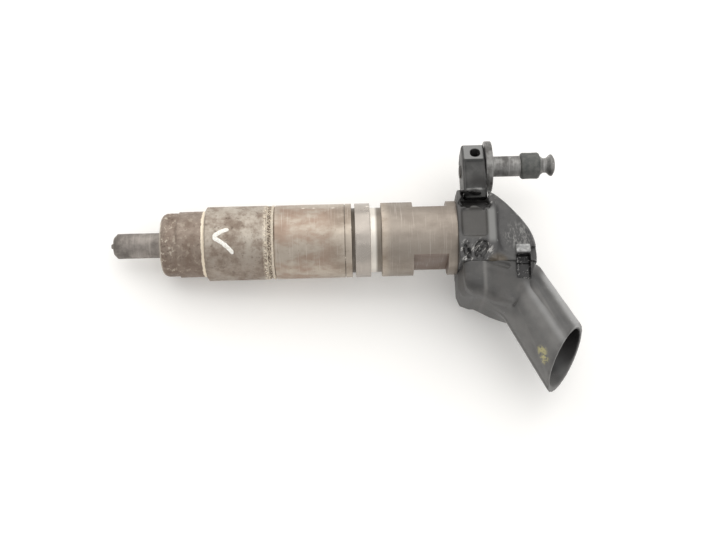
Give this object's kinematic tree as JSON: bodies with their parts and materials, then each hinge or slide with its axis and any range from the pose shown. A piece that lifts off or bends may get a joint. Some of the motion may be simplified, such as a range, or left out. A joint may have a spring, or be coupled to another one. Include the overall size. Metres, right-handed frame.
{
  "type": "diesel fuel injector",
  "caption": "Piezo common-rail diesel injector: nozzle with retaining nut, grooved steel body with clamp flats, and plastic head with angled connector, fuel inlet and return nipple.",
  "frame": {"origin": "on the injector's axis, where the nozzle shank leaves the front sealing face of the retaining nut", "axes": "+X along the injector from nozzle to head; +Y towards the return block, square to the two clamp flats; +Z away from the high-pressure inlet, whose port points to -Z"},
  "size_m": [0.1301, 0.0721, 0.0278],
  "materials": {
    "nozzle_steel": "dull, oxidised",
    "nut_steel": "worn, stained with baked-on deposits",
    "body_steel": "worn, with bright ground lands",
    "bright_steel": "ground",
    "spring_steel": "drawn",
    "piezo_ceramic": "matt",
    "seal_rubber": "matt",
    "copper": "drawn wire",
    "brass_filter": "turned",
    "terminal_brass": "tinned and worn",
    "head_plastic": "glass-filled, scuffed and partly melted",
    "latch_plastic": "smooth",
    "block_metal": "black coated, chipped",
    "nipple_steel": "dull plated"
  },
  "bodies": {
    "injector": {"nozzle_body": "nozzle_steel", "needle_spring": "spring_steel", "needle_spring_seat": "bright_steel", "orifice_plate": "bright_steel", "valve_plate": "bright_steel", "plate_dowels": "bright_steel", "valve_spring": "spring_steel", "retaining_nut": "nut_steel", "injector_body": "body_steel", "coupler_sleeve": "bright_steel", "coupler_spring": "spring_steel", "piezo_stack": "piezo_ceramic", "actuator_tube": "spring_steel", "actuator_foot": "bright_steel", "foot_seal": "seal_rubber", "actuator_clamp_ring": "bright_steel", "terminal_leads": "copper", "inlet_stub": "body_steel", "inlet_filter": "brass_filter", "head_cap": "head_plastic", "connector_housing": "head_plastic", "terminal_pins": "terminal_brass", "connector_latch": "latch_plastic", "return_block": "block_metal", "block_plug": "block_metal", "return_nipple": "nipple_steel", "nipple_sleeve": "seal_rubber"},
    "needle": {"nozzle_needle": "bright_steel"},
    "valve": {"control_valve": "bright_steel", "valve_piston": "bright_steel"},
    "actuator": {"coupler_piston": "bright_steel", "actuator_head": "bright_steel"}
  },
  "joints": [
    {"name": "needle_lift", "type": "slide", "parent": "injector", "child": "needle", "axis": [1, 0, 0], "range_m": [0, 0.00025], "stiffness_N_per_m": 500, "springref_m": -0.002, "deforming": ["needle_spring"]},
    {"name": "actuator_stroke", "type": "slide", "parent": "injector", "child": "actuator", "axis": [-1, 0, 0], "range_m": [0, 0.00004], "deforming": ["coupler_spring", "piezo_stack", "actuator_tube"]},
    {"name": "valve_stroke", "type": "slide", "parent": "injector", "child": "valve", "axis": [-1, 0, 0], "range_m": [0, 0.00006], "deforming": ["valve_spring"]}
  ],
  "couplings": [
    {"joint": "valve_stroke", "follows": "actuator_stroke", "ratio": 1.5}
  ]
}
